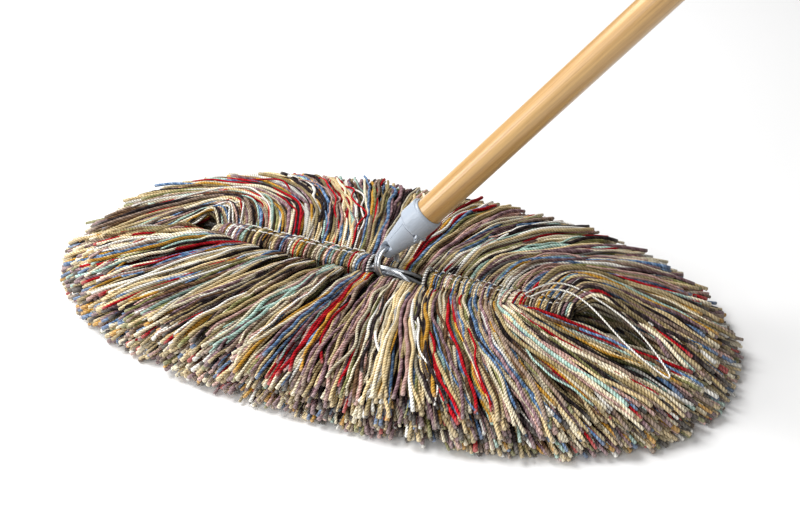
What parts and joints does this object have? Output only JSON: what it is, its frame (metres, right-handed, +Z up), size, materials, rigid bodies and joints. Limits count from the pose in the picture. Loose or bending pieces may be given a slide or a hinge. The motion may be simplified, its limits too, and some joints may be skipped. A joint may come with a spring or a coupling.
{
  "type": "string mop",
  "caption": "Oval mop head of twisted cotton and wool yarn on a spring wire frame, with a swivelling plastic socket, a clip door and a round wooden pole.",
  "frame": {"origin": "middle of the head's flat sole, on the floor", "axes": "+X along the head towards the end the pole leans over, +Y across the head, away from the side the clip door's parting line faces, +Z up"},
  "size_m": [1.1212, 0.4435, 1.0138],
  "materials": {
    "yarn": "matte twisted yarn in many colours",
    "white_thread": "matte thread",
    "hem_thread": "matte overlocked thread",
    "backing_cloth": "plain woven cloth",
    "steel": "bright plated wire",
    "grey_plastic": "satin moulded plastic",
    "pole_wood": "clear lacquer"
  },
  "bodies": {
    "mop_head": {"top_yarn_front_left": "yarn", "top_yarn_front_middle": "yarn", "top_yarn_front_right": "yarn", "top_yarn_back_left": "yarn", "top_yarn_back_middle": "yarn", "top_yarn_back_right": "yarn", "top_yarn_end_left": "yarn", "top_yarn_end_right": "yarn", "sole_yarn_middle": "yarn", "sole_yarn_front": "yarn", "sole_yarn_back": "yarn", "sole_yarn_end_left": "yarn", "sole_yarn_end_right": "yarn", "spine_left": "yarn", "spine_right": "yarn", "spine_thread_left": "white_thread", "spine_thread_right": "white_thread", "mouth_hem_left": "hem_thread", "mouth_hem_right": "hem_thread", "bottom_backing": "backing_cloth", "top_backing": "backing_cloth", "edge_binding": "backing_cloth", "outer_frame_wire": "steel", "inner_frame_wire": "steel", "outer_crimp_sleeve": "steel", "inner_crimp_sleeve": "steel"},
    "link": {"link_ring": "steel"},
    "handle": {"socket": "grey_plastic", "door_pin": "steel", "socket_screw": "steel", "pole": "pole_wood", "hanger_cap": "grey_plastic"},
    "door": {"clip_door": "grey_plastic"}
  },
  "joints": [
    {"name": "ring_swing", "type": "hinge", "parent": "mop_head", "child": "link", "pos_m": [0, 0, 0.034], "axis": [1, 0, 0], "range_deg": [-25, 85]},
    {"name": "socket_tilt", "type": "hinge", "parent": "link", "child": "handle", "pos_m": [0, 0.01113, 0.05062], "axis": [0.3746, 0.7705, -0.5158], "range_deg": [-85, 15]},
    {"name": "door_hinge", "type": "hinge", "parent": "handle", "child": "door", "pos_m": [0.02817, 0.00947, 0.06861], "axis": [-0.3746, -0.7705, 0.5158], "range_deg": [0, 10]}
  ]
}
